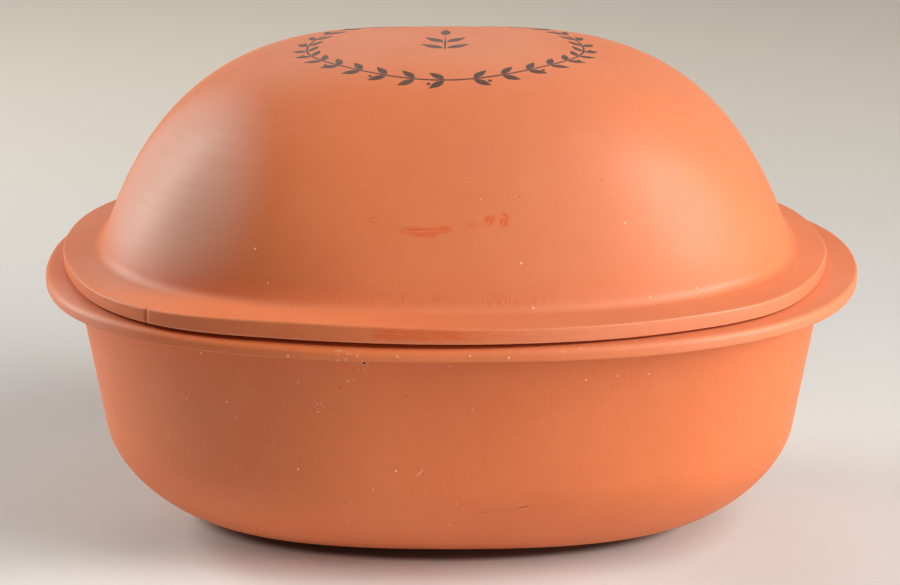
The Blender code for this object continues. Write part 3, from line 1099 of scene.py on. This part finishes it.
# %% Garland and sprig
strips = []
vine_turns = np.linspace(0.0, math.tau, VINE_STEPS + 1)
vine = []
for turn in vine_turns:
    outer, _ = garland_point(turn, VINE_WIDTH / 2)
    inner, _ = garland_point(turn, -VINE_WIDTH / 2)
    vine.append((outer, inner))
strips.append(vine)
for number in range(LEAF_PAIRS):
    turn = (number + 0.5) * math.tau / LEAF_PAIRS
    rising = 1.0 if math.cos(turn) > 0.0 else -1.0
    for side in (1.0, -1.0):
        root, way = garland_point(turn, side * (VINE_WIDTH / 2 + LEAF_GAP))
        heading = way if rising > 0.0 else way + math.pi
        strips.append(leaf(root, heading - side * rising * LEAF_SPREAD, LEAF_LENGTH, LEAF_WIDTH))
    if number % 2:
        centre, _ = garland_point(turn + 0.5 * math.tau / LEAF_PAIRS, BERRY_OFFSET)
        strips.append(berry(centre, BERRY_RADIUS))

STEM_LENGTH = 16.0 * MM
STEM_REACH = STEM_LENGTH * 1.6
STEM_WIDTH = 0.9 * MM
SPRIG_LEAF_LENGTH = LEAF_LENGTH * 1.45
SPRIG_LEAF_WIDTH = LEAF_WIDTH * 1.35
SPRIG_LEAVES = ((0.15, 55.0), (0.15, -55.0), (0.55, 42.0), (0.55, -42.0), (1.05, 0.0))
stem_foot = np.array([LID_SHIFT, -STEM_LENGTH])
strips.append(leaf(stem_foot, math.pi / 2, STEM_REACH, STEM_WIDTH))
for share, spread in SPRIG_LEAVES:
    reach = STEM_WIDTH * (1.0 if spread > 0.0 else -1.0 if spread < 0.0 else 0.0)
    root = stem_foot + (-reach, STEM_REACH * share)
    heading = math.pi / 2 + math.radians(spread)
    strips.append(leaf(root, heading, SPRIG_LEAF_LENGTH, SPRIG_LEAF_WIDTH))
print("ink strips", len(strips))

# %% [markdown]
# ## Ink on the dome
#
# Every strip becomes a closed skin: a top a few hundredths of a millimetre over the clay, a back
# just inside it, and a rim between the two.

# %% Ink mesh


def ink_points(plan, offset):
    """A plan point's place on the lid, moved out along the surface's own direction."""
    _, point, normal, _ = lid.ray_cast((plan[0], plan[1], DROP_FROM), DOWN)
    return point + normal * offset


ink_data = bpy.data.meshes.new("lid_garland")
points = []
faces = []
for strip in strips:
    first = len(points)
    closed = strip is vine
    lines = strip[:-1] if closed else strip
    for left, right in lines:
        points += [ink_points(plan, INK_ABOVE) for plan in (left, right)]
        points += [ink_points(plan, -INK_BELOW) for plan in (right, left)]
    count = len(lines)
    for line in range(count if closed else count - 1):
        a = first + 4 * line
        b = first + 4 * ((line + 1) % count)
        faces += [(a + k, a + (k + 1) % 4, b + (k + 1) % 4, b + k) for k in range(4)]
    if not closed:
        last = first + 4 * (count - 1)
        faces += [(first + 3, first + 2, first + 1, first), (last, last + 1, last + 2, last + 3)]
ink_data.from_pydata(points, [], faces)
garland = add("lid_garland", ink_data)

INK = (0.060, 0.022, 0.012, 1.0)
INK_THIN = (0.170, 0.055, 0.028, 1.0)
ink = Recipe("garland_ink")
ink_place = ink.place()
thin = ink.rise(ink.cloud(ink_place, 0.004, 4.0), 0.45, 0.75)
ink_sockets = {
    "Base Color": ink.tinted(thin * 0.6, INK, INK_THIN),
    "Roughness": ink.cloud(ink_place, 0.002) * 0.1 + 0.5,
}
ink_shader = ink.node("ShaderNodeBsdfPrincipled", {}, ink_sockets)
ink_data.materials.append(ink.finish(ink_shader))
print(garland.name, len(ink_data.polygons), "faces")

# %% [markdown]
# ## The pieces stand for the solids
#
# The two fine meshes replace the two plain solids and move with their bodies, so the lid lifts
# off with its finish.

# %% Ride and replace
for piece, body, node in ((dish, "dish", "base_dish"), (lid, "lid", "domed_lid")):
    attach(piece, body)
    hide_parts(node)
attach(garland, "lid")
print("pieces", dish.name, lid.name, garland.name)

# %% [markdown]
# ## Floor
#
# The photograph stands the baker on a plain sweep of pale paper. A flat sheet does the same here.
# Its tint is painted light: the far paper is painted warmer and paler, the paper close to the clay
# is painted cooler against the red light that the clay throws on it, and a paler patch in front is a
# painted pool of light. A dark oval under the foot deepens the contact shadow, which the photograph
# shows almost black. Towards its border the sheet turns clear, so that from any side it melts into
# the pale studio and shows no edge.

# %% Floor
FLOOR_HALF = 1.8
PAPER = (0.670, 0.645, 0.600, 1.0)
PAPER_FAR_PAINTED_LIGHT = (0.810, 0.730, 0.610, 1.0)
FAR_DEPTHS = (0.25, 0.95)
PAPER_NEAR_PAINTED_COOL = (0.650, 0.695, 0.655, 1.0)
PAPER_FRONT_PAINTED_LIGHT = (0.820, 0.820, 0.770, 1.0)
PAPER_UNDER = (0.160, 0.070, 0.045, 1.0)
PAPER_PATCHES = (
    ((-0.05, -0.02, 0.0), (0.29, 0.22, 1.0), 0.8, PAPER_NEAR_PAINTED_COOL),
    ((-0.05, -0.090, 0.0), (0.20, 0.065, 1.0), 0.6, PAPER_FRONT_PAINTED_LIGHT),
    ((-0.004, 0.0, 0.0), (0.116, 0.057, 1.0), 0.12, PAPER_UNDER),
)
SHEET_MIDDLE = Vector((0.0, 0.15, 0.0))
SHEET_SIZE = Vector((0.80, 1.50, 1.0))

floor_data = bpy.data.meshes.new("studio_floor")
corners = [(-FLOOR_HALF, -FLOOR_HALF, 0.0), (FLOOR_HALF, -FLOOR_HALF, 0.0)]
corners += [(FLOOR_HALF, FLOOR_HALF, 0.0), (-FLOOR_HALF, FLOOR_HALF, 0.0)]
floor_data.from_pydata(corners, [], [(0, 1, 2, 3)])
floor = add("studio_floor", floor_data)
paper = Recipe("floor_paper")
paper_place = paper.place()
# The far paper is painted warmer and paler, as painted light.
tone = paper.tinted(paper.rise(paper.axis(paper_place, "Y"), *FAR_DEPTHS), PAPER, PAPER_FAR_PAINTED_LIGHT)
# Painted light on the paper: a cooler tint near the clay against its red bounce light, a paler pool in
# front, and the dark oval of painted shadow under the foot.
for middle, size, edge, colour in PAPER_PATCHES:
    tone = paper.tinted(paper.patch(paper_place, Vector(middle), Vector(size), edge), tone, colour)
grain = paper.cloud(paper_place, 0.0016, 2.0) * 0.00004
paper_bump = paper.bump(grain)
sheet = paper.patch(paper_place, SHEET_MIDDLE, SHEET_SIZE, 0.35)
paper_sockets = {"Base Color": tone, "Roughness": 0.8, "Normal": paper_bump, "Alpha": sheet}
floor_data.materials.append(paper.finish(paper.node("ShaderNodeBsdfPrincipled", {}, paper_sockets)))
print("nodes in the paper", len(paper.tree.nodes))

# %% [markdown]
# ## Lamps
#
# Each lamp is a soft box aimed at the baker from a direction and a distance. The strong one
# stands at the right and a little in front, so the front of the baker darkens towards the left.
# A second, higher box on that side and one overhead light the flanges. Two weaker ones at the
# left, a little behind, draw the soft sheen on the left of the dome. Faint ones in front and
# behind keep the wall under the flange and the back from going dark.

# %% Soft boxes
LAMP_AIM = Vector((0.0, 0.0, 0.11))


def soft_box(name, direction, distance, size, level):
    """An area lamp that gives the clay it faces about this level of light."""
    data = bpy.data.lights.new(name, "AREA")
    data.shape = "SQUARE"
    data.size = size
    data.energy = level * math.pi**2 * distance**2
    lamp = add(name, data)
    way = Vector(direction).normalized()
    lamp.location = LAMP_AIM + way * distance
    lamp.rotation_mode = "QUATERNION"
    lamp.rotation_quaternion = (-way).to_track_quat("-Z", "Y")


SOFT_BOXES = (
    ("right_key", (0.85, -0.40, 0.30), 1.4, 0.7, 1.08),
    ("right_high", (0.58, -0.36, 0.74), 1.4, 0.6, 0.44),
    ("overhead", (0.0, 0.10, 1.0), 1.5, 0.9, 0.07),
    ("left_high", (-0.80, 0.30, 0.55), 1.4, 0.5, 0.38),
    ("left_low", (-0.93, 0.20, 0.17), 1.4, 0.6, 0.50),
    ("front_low", (0.05, -0.95, 0.14), 1.8, 0.8, 0.060),
    ("behind", (-0.15, 0.80, 0.60), 1.5, 0.8, 0.12),
)
for box in SOFT_BOXES:
    soft_box(*box)
print("soft boxes", len(SOFT_BOXES))

# %% [markdown]
# ## The world
#
# The lamps do the lighting, so the world gives no light to the clay's own colour. Rays that come
# straight from the camera, or from a gloss, see it as a pale grey studio, which is what stands
# beyond the end of the floor in a low view.

# %% World
STUDIO_GREY = (0.56, 0.53, 0.47, 1.0)

world = bpy.data.worlds.new("studio_world")
bpy.context.scene.world = world
world.use_nodes = True
studio = Recipe.over(world.node_tree)
rays = studio.node("ShaderNodeLightPath")
seen = rays.output("Is Camera Ray")
seen = seen.maths("MAXIMUM", seen, rays.output("Is Glossy Ray"))
seen = seen.maths("MAXIMUM", seen, rays.output("Is Transmission Ray"))
pale = studio.node("ShaderNodeBackground", {}, {"Color": STUDIO_GREY, "Strength": seen})
studio.node("ShaderNodeOutputWorld", {}, {"Surface": pale})

# %% [markdown]
# ## View settings
#
# The colours leave the renderer without a film curve.

# %% View settings and finish
bpy.context.scene.view_settings.view_transform = "Standard"
